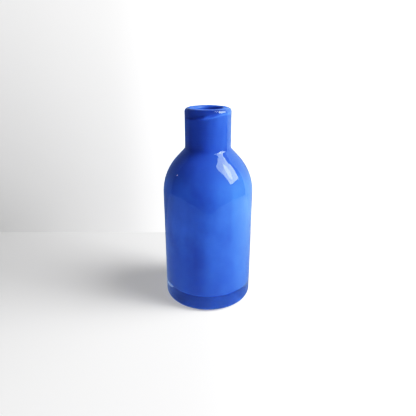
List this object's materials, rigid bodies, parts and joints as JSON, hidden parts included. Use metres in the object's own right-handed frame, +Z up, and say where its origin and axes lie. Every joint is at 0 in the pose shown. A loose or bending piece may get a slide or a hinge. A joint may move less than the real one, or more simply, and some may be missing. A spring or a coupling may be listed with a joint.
{
  "type": "cased glass bottle",
  "caption": "Round-shouldered open-necked bottle of cased glass: an opaque blue layer under clear glass that runs down into a thick clear base.",
  "frame": {"origin": "centre of the foot ring, on the surface the bottle stands on", "axes": "+Z up along the bottle's axis, out of the mouth; the bottle is round, so X and Y are free"},
  "size_m": [0.092, 0.092, 0.201],
  "materials": {
    "clear_glass": "fire polished, very smooth",
    "blue_glass": "opaque, glossy"
  },
  "bodies": {
    "root": {"clear_casing": "clear_glass", "blue_lining": "blue_glass"}
  },
  "joints": []
}
